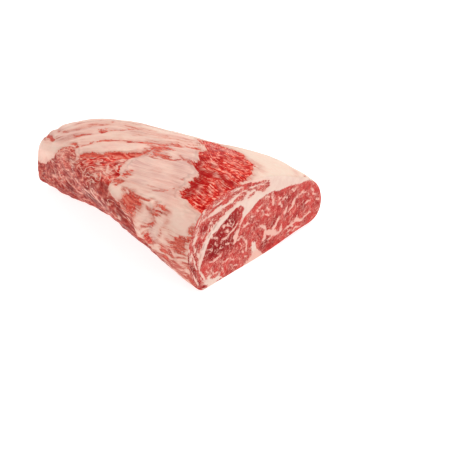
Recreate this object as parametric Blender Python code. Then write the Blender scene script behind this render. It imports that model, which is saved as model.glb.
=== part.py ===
"""Raw boneless beef rib roast, one solid piece of meat cut across at both ends and lying on its
flat underside.  Metres, +Z up.  The roast runs along X with the large cut face at +X, the side
with the thick lip of meat at -Y and the thin loin side at +Y.
"""

import bmesh
import bpy
import numpy as np

# Overall sizes
LENGTH = 0.278
CUT_EDGE = 0.0012
RINGS = 60
POINTS_ROUND = 78
CUT_WIDTH = 0.2045
CUT_HEIGHT = 0.098
SIDE_TO_SIDE_MIDDLE = 0.0783

# Sections across the meat, from the near bottom corner up the near side, over the top, down
# the loin side and back along the underside.  Each row is a share of the width and of the
# height.  The knife left the cut section leaning in at the top and sharp at its bottom corner.
LOIN_SIDE = [
    (0.500, 0.957),
    (0.640, 0.870),
    (0.770, 0.745),
    (0.885, 0.625),
    (0.966, 0.475),
    (0.999, 0.290),
    (0.985, 0.135),
    (0.930, 0.055),
    (0.800, 0.040),
    (0.550, 0.000),
    (0.300, 0.000),
]
CUT_SECTION = [
    (0.100, 0.000),
    (0.054, 0.073),
    (0.022, 0.230),
    (0.002, 0.450),
    (0.012, 0.625),
    (0.046, 0.765),
    (0.084, 0.890),
    (0.160, 0.972),
    (0.250, 1.000),
    (0.350, 1.003),
    *LOIN_SIDE,
    (0.135, 0.000),
]
FULL_SECTION = [
    (0.110, 0.030),
    (0.070, 0.115),
    (0.040, 0.240),
    (0.015, 0.430),
    (0.003, 0.650),
    (0.012, 0.800),
    (0.050, 0.890),
    (0.125, 0.955),
    (0.235, 0.990),
    (0.350, 1.000),
    *LOIN_SIDE,
    (0.170, 0.000),
]

# How the section changes along the roast, in millimetres: distance behind the cut face, near
# edge, loin edge, height, swell of the loin shoulder, tuck under the near side, lift of the
# near bottom corner.  The last column goes from the cut section at 0 to the full one at 1.
ALONG = [
    (0, -21.5, 183.0, 98.0, 0.0, 0.0, 0.0, 0.0),
    (12, -24.0, 184.0, 98.5, 1.5, 0.5, 0.0, 0.5),
    (50, -26.5, 184.0, 100.0, 4.4, 6.4, 0.0, 1.0),
    (100, -28.0, 181.5, 97.4, 2.2, 16.2, 1.5, 1.0),
    (150, -19.5, 174.5, 96.8, -2.9, 17.4, 4.5, 1.0),
    (200, -7.5, 164.5, 95.4, -6.0, 8.2, 5.0, 1.0),
    (245, 3.5, 153.5, 83.6, -7.5, -2.4, 6.0, 1.0),
    (278, 13.0, 141.0, 68.2, -12.0, -5.6, 8.0, 0.4),
]

# Creases between the rolls of fat and meat: depth and half width in millimetres, then the
# line, as millimetres along X from the middle and millimetres round the section from the near
# bottom corner of the cut.
CREASES = [
    (1.8, 6.0, [(-139, 110), (-112, 100), (-90, 103), (-74, 111), (-60, 131)]),
    (1.6, 6.5, [(-139, 133), (-112, 118), (-96, 121), (-68, 150), (-56, 168)]),
    (1.7, 6.0, [(-50, 112), (-28, 140), (-6, 154), (20, 179), (48, 199)]),
    (1.2, 6.0, [(-54, 136), (-42, 156), (-32, 182)]),
    (1.9, 6.0, [(-36, 102), (-18, 112), (6, 128), (22, 144)]),
]
# Rounded lumps: height in millimetres, half sizes along and round, and where the middle is.
LUMPS = [
    (2.4, 22.0, 12.0, (-122, 84)),
    (1.6, 18.0, 11.0, (8, 88)),
    (1.4, 24.0, 14.0, (66, 92)),
    (1.4, 24.0, 14.0, (-62, 88)),
]
# The strip of muscle laid bare across the top lies a little lower than the fat round it.
BARE_STRIP = (1.2, 25.0, [(139, 132), (110, 160), (82, 188), (50, 220), (10, 250)])


def curve_round(control, at):
    """Points of a closed smooth curve through the control points; at counts control points."""
    control = np.array(control, dtype=float)
    count = len(control)
    at = np.asarray(at) % count
    index = np.floor(at).astype(int)
    part = (at - index)[:, None]
    before, start = control[(index - 1) % count], control[index]
    end, after = control[(index + 1) % count], control[(index + 2) % count]
    return 0.5 * (
        2 * start
        + (end - before) * part
        + (2 * before - 5 * start + 4 * end - after) * part**2
        + (3 * start - before - 3 * end + after) * part**3
    )


def value_along(distance, column):
    """One column of ALONG, read smoothly at any distance behind the cut face in mm."""
    places = np.array([row[0] for row in ALONG], dtype=float)
    values = np.array([row[column] for row in ALONG], dtype=float)
    gaps = np.diff(places)
    rises = np.diff(values) / gaps
    slopes = np.empty_like(values)
    slopes[0], slopes[-1] = rises[0], rises[-1]
    slopes[1:-1] = (gaps[:-1] * rises[1:] + gaps[1:] * rises[:-1]) / (gaps[:-1] + gaps[1:])
    k = min(max(int(np.searchsorted(places, distance, side="right")) - 1, 0), len(gaps) - 1)
    t = (distance - places[k]) / gaps[k]
    return (
        (2 * t**3 - 3 * t**2 + 1) * values[k]
        + (t**3 - 2 * t**2 + t) * gaps[k] * slopes[k]
        + (3 * t**2 - 2 * t**3) * values[k + 1]
        + (t**3 - t**2) * gaps[k] * slopes[k + 1]
    )


def girth_table():
    """How far round the cut section each point of its smooth outline lies, in mm."""
    at = np.linspace(0, len(CUT_SECTION), 4001)
    across = curve_round(CUT_SECTION, at) * (CUT_WIDTH * 1000, CUT_HEIGHT * 1000)
    steps = np.linalg.norm(np.diff(across, axis=0), axis=1)
    return at, np.concatenate([[0.0], np.cumsum(steps)])


def distance_to_line(x, around, line):
    """Distance in mm from points on the skin to a line drawn on it."""
    nearest = np.full(np.shape(around), 1e9)
    for (x0, a0), (x1, a1) in zip(line, line[1:]):
        run = np.array([x1 - x0, a1 - a0], dtype=float)
        share = ((x - x0) * run[0] + (around - a0) * run[1]) / run.dot(run)
        share = np.clip(share, 0.0, 1.0)
        gap = np.hypot(x - x0 - share * run[0], around - a0 - share * run[1])
        nearest = np.minimum(nearest, gap)
    return nearest


def relief(x, around):
    """Height of the surface over the smooth form, in mm."""
    height = np.zeros(np.shape(around))
    for depth, half, line in CREASES:
        height -= depth * np.exp(-((distance_to_line(x, around, line) / half) ** 2))
    for tall, half_along, half_round, (lump_x, lump_a) in LUMPS:
        reach = ((x - lump_x) / half_along) ** 2 + ((around - lump_a) / half_round) ** 2
        height += tall * np.exp(-reach)
    depth, half, line = BARE_STRIP
    height -= depth / (1 + np.exp((distance_to_line(x, around, line) - half) / 4))
    return height


def section_at(distance, at, around):
    """Points of the section this many mm behind the cut face, in metres."""
    near, loin, high, swell, tuck, lift, fullness = (
        value_along(distance, column) for column in range(1, 8)
    )
    share = curve_round(CUT_SECTION, at) * (1 - fullness)
    share = share + curve_round(FULL_SECTION, at) * fullness
    p, q = share[:, 0], share[:, 1]
    ramp = np.clip((p - 0.25) / 0.6, 0, 1)
    shoulder = ramp**2 * (3 - 2 * ramp) * np.clip(q / 0.5, 0, 1)
    low = np.clip(1 - q / 0.7, 0, 1) ** 1.5
    y = near + p * (loin - near) + 1.9 * tuck * low * np.clip(1 - p / 0.30, 0, 1)
    z = q * high + swell * shoulder + lift * low * np.clip(1 - p / 0.40, 0, 1)
    outline = np.stack([y, z], axis=1)
    tangent = np.roll(outline, -1, axis=0) - np.roll(outline, 1, axis=0)
    tangent /= np.linalg.norm(tangent, axis=1)[:, None]
    outward = np.stack([-tangent[:, 1], tangent[:, 0]], axis=1)
    x = LENGTH * 500 - distance
    fade = np.clip(distance / 12, 0, 1) * np.clip((q - 0.15) / 0.2, 0, 1)
    outline += outward * (relief(x, around) * fade)[:, None]
    outline[:, 1] = np.maximum(outline[:, 1], 0.0)
    outline[:, 0] -= SIDE_TO_SIDE_MIDDLE * 1000
    return [(x / 1000, y / 1000, z / 1000) for y, z in outline]


def meat_material():
    """Raw red meat with pale fat, wet and slightly glossy."""
    material = bpy.data.materials.new("raw_meat")
    material.use_nodes = True
    shader = material.node_tree.nodes["Principled BSDF"]
    shader.inputs["Base Color"].default_value = (0.52, 0.16, 0.12, 1.0)
    shader.inputs["Roughness"].default_value = 0.38
    shader.inputs["Metallic"].default_value = 0.0
    return material


def rib_roast():
    """The roast: sections from the cut face to the far end, skinned ring by ring."""
    table_at, table_around = girth_table()
    around = np.arange(POINTS_ROUND) / POINTS_ROUND * table_around[-1]
    at = np.interp(around, table_around, table_at)
    bm = bmesh.new()
    rings = []
    for step in np.linspace(0.0, LENGTH * 1000, RINGS + 1):
        rings.append([bm.verts.new(point) for point in section_at(step, at, around)])
    for ring, behind in zip(rings, rings[1:]):
        for k in range(POINTS_ROUND):
            after = (k + 1) % POINTS_ROUND
            bm.faces.new((ring[k], ring[after], behind[after], behind[k]))
    bm.faces.new(rings[0])
    bm.faces.new(rings[-1])
    half = LENGTH / 2 - 1e-5
    cut_faces = [f for f in bm.faces if all(abs(v.co.x) > half for v in f.verts)]
    rims = {edge for face in cut_faces for edge in face.edges}
    bmesh.ops.bevel(
        bm,
        geom=list(rims),
        offset=CUT_EDGE,
        segments=1,
        profile=0.5,
        affect="EDGES",
    )
    bmesh.ops.triangulate(bm, faces=bm.faces[:])
    bmesh.ops.recalc_face_normals(bm, faces=bm.faces[:])
    mesh = bpy.data.meshes.new("rib_roast")
    bm.to_mesh(mesh)
    bm.free()
    mesh.shade_smooth()
    mesh.set_sharp_from_angle(angle=0.8)
    roast = bpy.data.objects.new("rib_roast", mesh)
    roast.data.materials.append(meat_material())
    bpy.context.scene.collection.objects.link(roast)
    return roast


for leftover in list(bpy.data.objects):
    bpy.data.objects.remove(leftover, do_unlink=True)
rib_roast()
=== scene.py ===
import bmesh
import bpy
import numpy as np
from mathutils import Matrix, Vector


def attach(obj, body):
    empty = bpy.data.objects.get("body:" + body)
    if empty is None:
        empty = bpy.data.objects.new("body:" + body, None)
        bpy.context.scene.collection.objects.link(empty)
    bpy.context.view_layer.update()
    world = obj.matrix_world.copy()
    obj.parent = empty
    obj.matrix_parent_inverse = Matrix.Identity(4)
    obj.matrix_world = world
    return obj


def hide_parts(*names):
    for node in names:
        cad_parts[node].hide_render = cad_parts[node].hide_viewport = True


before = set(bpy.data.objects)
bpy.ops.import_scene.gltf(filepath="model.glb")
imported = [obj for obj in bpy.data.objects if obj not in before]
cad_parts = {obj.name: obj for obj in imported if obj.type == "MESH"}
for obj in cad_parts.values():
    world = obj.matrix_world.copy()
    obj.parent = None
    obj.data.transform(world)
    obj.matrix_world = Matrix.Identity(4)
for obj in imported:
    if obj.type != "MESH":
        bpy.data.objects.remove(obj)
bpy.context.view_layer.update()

# The stand: a three-quarter view down onto the big cut face and the near side, a wide white
# floor, a pale room all round and one large soft lamp overhead, a little behind the meat.
camera_lens = bpy.data.cameras.new("camera")
camera_lens.lens = 80
camera_lens.sensor_width = 36
camera = bpy.data.objects.new("camera", camera_lens)
camera.location = (0.7093, -0.6490, 0.580)
camera.rotation_mode = "QUATERNION"
camera.rotation_quaternion = Vector((-0.58376, 0.61515, -0.52992)).to_track_quat("-Z", "Y")
bpy.context.scene.collection.objects.link(camera)
bpy.context.scene.camera = camera
bpy.context.scene.view_settings.view_transform = "Standard"

room = bpy.data.worlds.new("pale_room")
room.use_nodes = True
room.node_tree.nodes["Background"].inputs["Color"].default_value = (1.0, 1.0, 1.0, 1.0)
room.node_tree.nodes["Background"].inputs["Strength"].default_value = 0.50
bpy.context.scene.world = room


def soft_lamp(name, power, width, place, aim=(0.0, 0.0, 0.05)):
    """A square studio lamp facing the point it is aimed at."""
    lamp = bpy.data.lights.new(name, "AREA")
    lamp.energy = power
    lamp.size = width
    holder = bpy.data.objects.new(name, lamp)
    holder.location = place
    holder.rotation_mode = "QUATERNION"
    holder.rotation_quaternion = (Vector(aim) - Vector(place)).to_track_quat("-Z", "Y")
    bpy.context.scene.collection.objects.link(holder)


soft_lamp("lamp_over", 8.0, 0.8, (0.15, 0.40, 1.10))
soft_lamp("lamp_front", 1.8, 0.8, (1.1, -0.3, 0.9))
soft_lamp("lamp_left", 2.6, 0.8, (-0.75, -0.85, 0.65))


def sheet_of(name, build, material):
    """A mesh object made by a function that fills a bmesh."""
    bm = bmesh.new()
    build(bm)
    mesh = bpy.data.meshes.new(name)
    bm.to_mesh(mesh)
    bm.free()
    made = bpy.data.objects.new(name, mesh)
    mesh.materials.append(material)
    bpy.context.scene.collection.objects.link(made)
    return made


floor_paint = bpy.data.materials.new("white_floor")
floor_paint.use_nodes = True
floor_shader = floor_paint.node_tree.nodes["Principled BSDF"]
floor_shader.inputs["Base Color"].default_value = (0.50, 0.50, 0.50, 1.0)
floor_shader.inputs["Roughness"].default_value = 0.9
floor_shader.inputs["Emission Color"].default_value = (1.0, 1.0, 1.0, 1.0)
floor_shader.inputs["Emission Strength"].default_value = 0.80
floor = sheet_of(
    "floor",
    lambda bm: bmesh.ops.create_circle(bm, cap_ends=True, segments=96, radius=3.0),
    floor_paint,
)
for corner in floor.data.vertices:
    corner.co.z = -0.0004

# The rib roast: one trimmed, boneless piece of beef.  A knife cut both ends square across.
# The outside is fat, thin skin and bare muscle as the butcher's trimming left it.
# Sections run from the near bottom corner up the near side, over the top, down the loin side
# and back underneath, as shares of the width and of the height.
LENGTH = 278.0
CUT_WIDTH = 204.5
CUT_HEIGHT = 98.0
MIDDLE = 78.3
LOIN_SIDE = [
    (0.500, 0.957),
    (0.640, 0.870),
    (0.770, 0.745),
    (0.885, 0.625),
    (0.966, 0.475),
    (0.999, 0.290),
    (0.985, 0.135),
    (0.930, 0.055),
    (0.800, 0.040),
    (0.550, 0.000),
    (0.300, 0.000),
]
CUT_SECTION = [
    (0.100, 0.000),
    (0.054, 0.073),
    (0.022, 0.230),
    (0.002, 0.450),
    (0.012, 0.625),
    (0.046, 0.765),
    (0.084, 0.890),
    (0.160, 0.972),
    (0.250, 1.000),
    (0.350, 1.003),
    *LOIN_SIDE,
    (0.135, 0.000),
]
FULL_SECTION = [
    (0.110, 0.030),
    (0.070, 0.115),
    (0.040, 0.240),
    (0.015, 0.430),
    (0.003, 0.650),
    (0.012, 0.800),
    (0.050, 0.890),
    (0.125, 0.955),
    (0.235, 0.990),
    (0.350, 1.000),
    *LOIN_SIDE,
    (0.170, 0.000),
]
# Distance behind the cut in mm, near edge, loin edge, height, swell of the loin shoulder,
# tuck under the near side, lift of the near bottom corner, share of the full section.
ALONG = np.array(
    [
        (0, -21.5, 183.0, 98.0, 0.0, 0.0, 0.0, 0.0),
        (12, -24.0, 184.0, 98.5, 1.5, 0.5, 0.0, 0.5),
        (50, -26.5, 184.0, 100.0, 4.4, 6.4, 0.0, 1.0),
        (100, -28.0, 181.5, 97.4, 2.2, 16.2, 1.5, 1.0),
        (150, -19.5, 174.5, 96.8, -2.9, 17.4, 4.5, 1.0),
        (200, -7.5, 164.5, 95.4, -6.0, 8.2, 5.0, 1.0),
        (245, 3.5, 153.5, 83.6, -7.5, -2.4, 6.0, 1.0),
        (278, 13.0, 141.0, 68.2, -12.0, -5.6, 8.0, 0.4),
    ]
)


def along_roast(behind):
    """The columns of ALONG, read smoothly at distances behind the cut."""
    places, values = ALONG[:, 0], ALONG[:, 1:]
    gaps = np.diff(places)[:, None]
    rises = np.diff(values, axis=0) / gaps
    slopes = np.concatenate(
        [
            rises[:1],
            (gaps[:-1] * rises[1:] + gaps[1:] * rises[:-1]) / (gaps[:-1] + gaps[1:]),
            rises[-1:],
        ]
    )
    k = np.clip(np.searchsorted(places, behind, side="right") - 1, 0, len(gaps) - 1)
    t = ((behind - places[k]) / gaps[k, 0])[:, None]
    return (
        (2 * t**3 - 3 * t**2 + 1) * values[k]
        + (t**3 - 2 * t**2 + t) * gaps[k] * slopes[k]
        + (3 * t**2 - 2 * t**3) * values[k + 1]
        + (t**3 - t**2) * gaps[k] * slopes[k + 1]
    ).T


def curve_round(control, at):
    """Points of a closed smooth curve; at counts its control points."""
    control = np.array(control, dtype=float)
    at = np.asarray(at) % len(control)
    k = np.floor(at).astype(int)
    t = (at - k)[:, None]
    a, b, c, d = (control[(k + step) % len(control)] for step in (-1, 0, 1, 2))
    return 0.5 * (
        2 * b + (c - a) * t + (2 * a - 5 * b + 4 * c - d) * t**2 + (3 * b - a - 3 * c + d) * t**3
    )


count_round = np.linspace(0, len(CUT_SECTION), 4001)
traced = curve_round(CUT_SECTION, count_round) * (CUT_WIDTH, CUT_HEIGHT)
mm_round = np.concatenate([[0.0], np.cumsum(np.linalg.norm(np.diff(traced, axis=0), axis=1))])
GIRTH = mm_round[-1]

# Places on the skin are drawn in mm: x along the roast from its middle, and s round it from
# the near bottom corner.  Creases part the rolls of fat: depth, half width and line.
CREASES = [
    (1.8, 6.0, [(-139, 110), (-112, 100), (-90, 103), (-74, 111), (-60, 131)]),
    (1.6, 6.5, [(-139, 133), (-112, 118), (-96, 121), (-68, 150), (-56, 168)]),
    (1.7, 6.0, [(-50, 112), (-28, 140), (-6, 154), (20, 179), (48, 199)]),
    (1.2, 6.0, [(-54, 136), (-42, 156), (-32, 182)]),
    (1.9, 6.0, [(-36, 102), (-18, 112), (6, 128), (22, 144)]),
]
LUMPS = [
    (2.4, 22.0, 12.0, (-122, 84)),
    (1.6, 18.0, 11.0, (8, 88)),
    (1.4, 24.0, 14.0, (66, 92)),
    (1.4, 24.0, 14.0, (-62, 88)),
]
BARE_STRIP_LINE = [(139, 132), (110, 160), (82, 188), (50, 220), (10, 250)]


def gap_to_line(u, v, line, halves=0.0):
    """How far points lie outside a drawn line, whose half width may change along it."""
    halves = np.broadcast_to(halves, len(line))
    nearest = np.full(np.shape(u), 1e3)
    for k in range(len(line) - 1):
        du, dv = line[k + 1][0] - line[k][0], line[k + 1][1] - line[k][1]
        t = np.clip(((u - line[k][0]) * du + (v - line[k][1]) * dv) / (du * du + dv * dv), 0, 1)
        gap = np.hypot(u - line[k][0] - t * du, v - line[k][1] - t * dv)
        nearest = np.minimum(nearest, gap - halves[k] - t * (halves[k + 1] - halves[k]))
    return nearest


def section(x, s):
    """Places on the outside of the roast, in mm, with its creases and rolls."""
    near, loin, high, swell, tuck, lift, full = along_roast(LENGTH / 2 - x)

    def outline(s):
        at = np.interp(s % GIRTH, mm_round, count_round)
        share = curve_round(CUT_SECTION, at) * (1 - full[:, None])
        p, q = (share + curve_round(FULL_SECTION, at) * full[:, None]).T
        ramp = np.clip((p - 0.25) / 0.6, 0, 1)
        shoulder = ramp**2 * (3 - 2 * ramp) * np.clip(q / 0.5, 0, 1)
        low = np.clip(1 - q / 0.7, 0, 1) ** 1.5
        y = near + p * (loin - near) + 1.9 * tuck * low * np.clip(1 - p / 0.30, 0, 1)
        return y, q * high + swell * shoulder + lift * low * np.clip(1 - p / 0.40, 0, 1), q

    y, z, q = outline(s)
    back, ahead = outline(s - 1.5), outline(s + 1.5)
    across, up = ahead[0] - back[0], ahead[1] - back[1]
    long = np.hypot(across, up)
    rise = np.zeros(len(x))
    s = s % GIRTH
    for depth, half, line in CREASES:
        rise -= depth * np.exp(-((gap_to_line(x, s, line) / half) ** 2))
    for tall, half_along, half_round, (lump_x, lump_s) in LUMPS:
        reach = ((x - lump_x) / half_along) ** 2 + ((s - lump_s) / half_round) ** 2
        rise += tall * np.exp(-reach)
    rise -= 1.2 / (1 + np.exp((gap_to_line(x, s, BARE_STRIP_LINE) - 25.0) / 4))
    rise *= np.clip((LENGTH / 2 - x) / 12, 0, 1) * np.clip((q - 0.15) / 0.2, 0, 1)
    y, z = y - rise * up / long, z + rise * across / long
    return np.stack([x, y - MIDDLE, np.maximum(z, 0.0)], axis=1)


# The mesh is a box of small squares, closer together on the big cut face, drawn out to shape.
CELLS = (150, 130, 60)
CORNERS = (0.0, 95.0, 265.0, 335.0, GIRTH)
bm = bmesh.new()
bmesh.ops.create_cube(bm, size=2.0)
for axis, cells in enumerate(CELLS):
    edges = [e for e in bm.edges if abs((e.verts[0].co - e.verts[1].co)[axis]) > 1e-6]
    bmesh.ops.subdivide_edges(bm, edges=edges, cuts=cells - 1, use_grid_fill=True)
cut_edges = {e for f in bm.faces if f.normal.x > 0.9 for e in f.edges}
bmesh.ops.subdivide_edges(bm, edges=list(cut_edges), cuts=1, use_grid_fill=True)
roast_mesh = bpy.data.meshes.new("roast")
bm.to_mesh(roast_mesh)
bm.free()

count = len(roast_mesh.vertices)
box = np.empty(count * 3, dtype=np.float32)
roast_mesh.vertices.foreach_get("co", box)
box = box.reshape(-1, 3).astype(float)
u, v = (box[:, 1] + 1) / 2, (box[:, 2] + 1) / 2
t = (1 - box[:, 0]) / 2
x = LENGTH / 2 - LENGTH * (0.75 * t + 0.25 * t * t)
s1, s2, s3 = CORNERS[1:4]
bottom = section(x, GIRTH - u * (GIRTH - s3))
top = section(x, s1 + u * (s2 - s1))
left = section(x, v * s1)
right = section(x, s3 - v * (s3 - s2))
u, v = u[:, None], v[:, None]
place = (1 - v) * bottom + v * top + (1 - u) * left + u * right
for su, sv, s in ((1 - u, 1 - v, 0.0), (1 - u, v, s1), (u, v, s2), (u, 1 - v, s3)):
    place -= su * sv * section(x, np.full(count, s))
u, v = u[:, 0], v[:, 0]
place[:, 0] = x

# Where each point lies round the section, for the skin, and how deep inside the rim, for the
# two cut faces.
tiny = 1e-6
round_s = np.select(
    [box[:, 1] < -1 + tiny, box[:, 2] > 1 - tiny, box[:, 1] > 1 - tiny],
    [v * s1, s1 + u * (s2 - s1), s3 - v * (s3 - s2)],
    GIRTH - u * (GIRTH - s3),
)
on_cut = np.abs(box[:, 0]) > 1 - tiny
in_cut = on_cut & (np.abs(box[:, 1]) < 1 - tiny) & (np.abs(box[:, 2]) < 1 - tiny)


def table_noise(u, v, seed):
    """Smooth random values from -1 to 1 over a plane, one hill or hollow to a unit."""
    table = np.random.default_rng(seed).uniform(-1, 1, (128, 128))
    i, j = np.floor(u).astype(int), np.floor(v).astype(int)
    a, b = u - i, v - j
    a, b = a * a * (3 - 2 * a), b * b * (3 - 2 * b)
    low = table[i % 128, j % 128] * (1 - a) + table[(i + 1) % 128, j % 128] * a
    high = table[i % 128, (j + 1) % 128] * (1 - a) + table[(i + 1) % 128, (j + 1) % 128] * a
    return low * (1 - b) + high * b


def inside_outline(u, v, outline):
    """Millimetres inside a closed outline; below zero outside it."""
    nearest = gap_to_line(u, v, [*outline, outline[0]])
    odd = np.zeros(np.shape(u), dtype=bool)
    for (u0, v0), (u1, v1) in zip(outline, [*outline[1:], outline[0]]):
        if v0 != v1:
            odd ^= ((v0 > v) != (v1 > v)) & (u < u0 + (v - v0) / (v1 - v0) * (u1 - u0))
    return np.where(odd, nearest, -nearest)


# What the cut shows, in mm across from the near corner and up: the eye with the muscle over
# it, the thin muscles of the cap, and the seams and streaks of fat that part them.
LEAN_OF_THE_CUT = [
    (-5, 26), (-4.5, 31), (-1.5, 36), (1.5, 43), (4.5, 49), (8, 54.5), (12, 59), (19, 60.5),
    (24, 64), (31, 68), (39, 72.5), (46, 74.8), (52, 75.3), (56, 72.5), (57.5, 69), (56, 65),
    (55, 61), (57, 58), (61, 60), (66, 61.5), (71, 65), (76, 68.5), (84, 70), (95, 70.8),
    (102, 70.2), (108, 68), (118, 67), (130, 65.5), (138, 64), (144, 61.5), (150, 61.5),
    (157, 60.5), (165, 57.5), (172, 53), (179, 47), (186, 36), (188, 24), (184, 12), (174, 5),
    (160, 1), (140, -2), (110, -2), (92, -1), (86, 3), (83, 7), (80, 10), (77, 13), (76, 20),
    (74, 23), (70, 23.5), (69, 18), (71, 12), (69, 7.5), (64, 4), (58, 1), (50, -3), (30, -3),
    (26, 2), (22, 5.5), (23, 9), (20, 7.6), (14, 7.2), (9.5, 9), (7, 11.5), (5, 9.5),
    (2.5, 11), (1, 15), (-1.5, 21),
]
CAP_MUSCLES = [
    [(-12, 46), (-6, 46), (-3, 51), (1, 56), (5, 61), (9, 65), (14, 69.5), (20, 72), (30, 76),
     (38, 78), (45, 79), (45, 80), (41, 82), (38, 83.5), (33, 83), (25, 82), (18, 80), (14, 79),
     (10, 80), (2, 81), (-4, 78), (-9, 70), (-12, 58)],
    [(-24, 52), (-12, 50), (-8, 44), (-9, 34), (-8, 26), (-4, 16), (-1, 8), (-4, 0), (-10, 0),
     (-20, 14), (-26, 30)],
    [(40, 82), (47, 86), (52, 88), (57, 88.5), (61, 85), (58, 81), (53, 80), (47, 82)],
    [(64, 79), (67, 78.6), (74, 80.5), (73, 82), (67, 81.4)],
    [(-26, 44), (-14, 50), (-13, 60), (-10, 70), (-5, 79), (0, 83), (8, 83.5), (14, 85), (18, 87.5),
     (25, 86.5), (35, 87), (39, 89), (45, 90.5), (55, 90), (62, 88), (66, 86.5), (73, 86),
     (80, 80), (88, 77.5), (95, 80), (94, 85), (85, 88.5), (78, 91), (70, 93.5), (60, 96.5),
     (40, 104), (-10, 104), (-30, 80)],
]
# Fat inside the muscles: a line and its half widths.
FAT_LINES = [
    ([(58, 64), (56, 58), (52, 53)], (1.0, 1.0, 0.6)),
    ([(51, 51), (48, 46), (46, 42), (44.5, 36)], (0.6, 1.8, 2.8, 1.5)),
    ([(48, 36.5), (53, 37), (58, 34.5), (60.5, 31)], (0.5, 0.6, 0.3, 0.3)),
    ([(61, 31), (61.8, 25), (61.5, 18)], (0.7, 1.3, 0.6)),
    ([(79.5, 37), (84, 36.3), (88, 34), (90.5, 30), (91, 26), (90, 21), (86, 17)],
     (0.4, 0.9, 1.2, 1.4, 1.4, 1.2, 0.5)),
    ([(90, 26), (94, 24.5), (98, 22.5), (103, 20), (107, 17.5), (112, 16.5), (116, 18)],
     (1.0, 2.0, 2.8, 3.0, 2.0, 1.4, 1.8)),
    ([(100, 23), (106, 28), (110, 32), (113.5, 36)], (1.5, 1.8, 1.3, 0.3)),
    ([(115, 17), (115.5, 21), (117, 24)], (1.8, 1.2, 0.2)),
    ([(103, 19), (100, 16), (96, 14.5)], (2.0, 1.0, 0.3)),
    ([(101, 68), (101.5, 61), (102.3, 54)], (0.4, 1.2, 0.5)),
    ([(111, 60), (112.5, 57)], (0.4, 1.0)), ([(113, 52), (116, 46.5)], (1.0, 0.8)),
    ([(117, 54.5), (120, 56), (124, 55)], (0.8, 0.4, 0.7)),
    ([(133, 60), (135, 56), (137, 58.5)], (0.5, 0.4, 0.3)),
    ([(121.5, 37), (124, 41)], (1.6, 1.5)),
    ([(128, 35), (131, 38), (134, 41), (137, 45), (139.5, 47)], (0.3, 1.1, 1.3, 1.6, 0.8)),
    ([(140, 46), (144, 49), (149, 50), (154, 47)], (0.4, 0.5, 0.9, 0.3)),
    ([(121, 14), (127, 16), (132, 18), (137, 17), (141, 18.5), (146, 16), (150, 15), (155, 17),
      (160, 18.5), (165, 18)], (0.2, 1.3, 1.0, 0.8, 2.1, 1.4, 0.6, 1.0, 1.1, 0.3)),
    ([(141, 19), (142, 23)], (1.6, 0.6)), ([(132, 17), (135, 13)], (0.9, 0.4)),
    ([(134, 8), (141, 9.5), (148, 8)], (0.2, 0.7, 0.2)),
    ([(126, 9), (133, 11)], (0.3, 0.5)), ([(157, 34), (162, 34)], (1.2, 0.5)),
    ([(160, 43), (161, 41)], (0.6, 0.4)), ([(164.5, 48.5), (166, 45)], (0.5, 0.7)),
    ([(167, 44), (168, 40), (172, 38)], (0.6, 1.0, 0.4)), ([(174, 31.5), (180, 28)], (0.8, 0.4)),
    ([(150, 36), (152, 38)], (0.6, 0.5)), ([(69, 54), (75, 53.5)], (0.8, 0.5)),
    ([(77, 60), (80, 56)], (0.5, 0.6)), ([(81, 60.7), (85, 61)], (0.6, 0.4)),
    ([(58, 47), (63, 48.5), (66, 47)], (0.9, 0.8, 0.3)), ([(85, 54), (87, 49)], (0.5, 0.6)),
    ([(92, 55), (95, 51)], (0.5, 0.5)), ([(91, 48), (95, 45)], (0.5, 0.5)),
    ([(91, 67.5), (96, 66)], (0.5, 0.5)), ([(110, 35), (108, 30)], (0.5, 0.3)),
    ([(24, 44), (27, 47.5), (33, 47.5), (40, 50), (46, 53), (49, 56)],
     (0.5, 0.9, 0.8, 0.9, 1.0, 0.6)),
    ([(27, 61), (30, 63)], (1.6, 1.0)), ([(33, 61), (40, 56), (43, 58)], (0.8, 0.4, 0.3)),
    ([(37, 65), (39, 60)], (0.6, 0.4)), ([(16, 54), (20, 51)], (0.5, 0.6)),
    ([(12, 56), (15, 55)], (0.5, 0.4)), ([(33, 38.5), (36, 38)], (1.1, 0.9)),
    ([(33, 54), (35, 52)], (0.8, 0.7)), ([(8, 45), (12, 41)], (0.5, 0.6)),
    ([(16, 47), (18, 44)], (0.5, 0.4)), ([(9, 29), (14, 27), (20, 27.5), (24, 30)],
     (0.5, 0.7, 0.6, 0.4)),
    ([(24, 39), (28, 38)], (0.8, 0.6)), ([(27, 20), (31, 19), (35, 20.5)], (0.6, 0.7, 0.3)),
    ([(38, 20), (43, 15)], (0.5, 0.6)), ([(51, 31), (55, 27)], (0.5, 0.5)),
    ([(56, 19), (58, 17)], (0.7, 0.5)), ([(60, 11), (62, 10)], (0.8, 0.5)),
    ([(44, 7.5), (48, 6)], (0.6, 0.4)), ([(17, 12), (19, 10.5)], (0.7, 0.4)),
    ([(10, 18), (14, 13)], (0.4, 0.6)), ([(3, 21), (6, 17)], (0.5, 0.4)),
    ([(4, 12.5), (10, 12)], (0.8, 0.7)), ([(26, 12), (28, 8)], (0.7, 0.5)),
]
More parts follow.
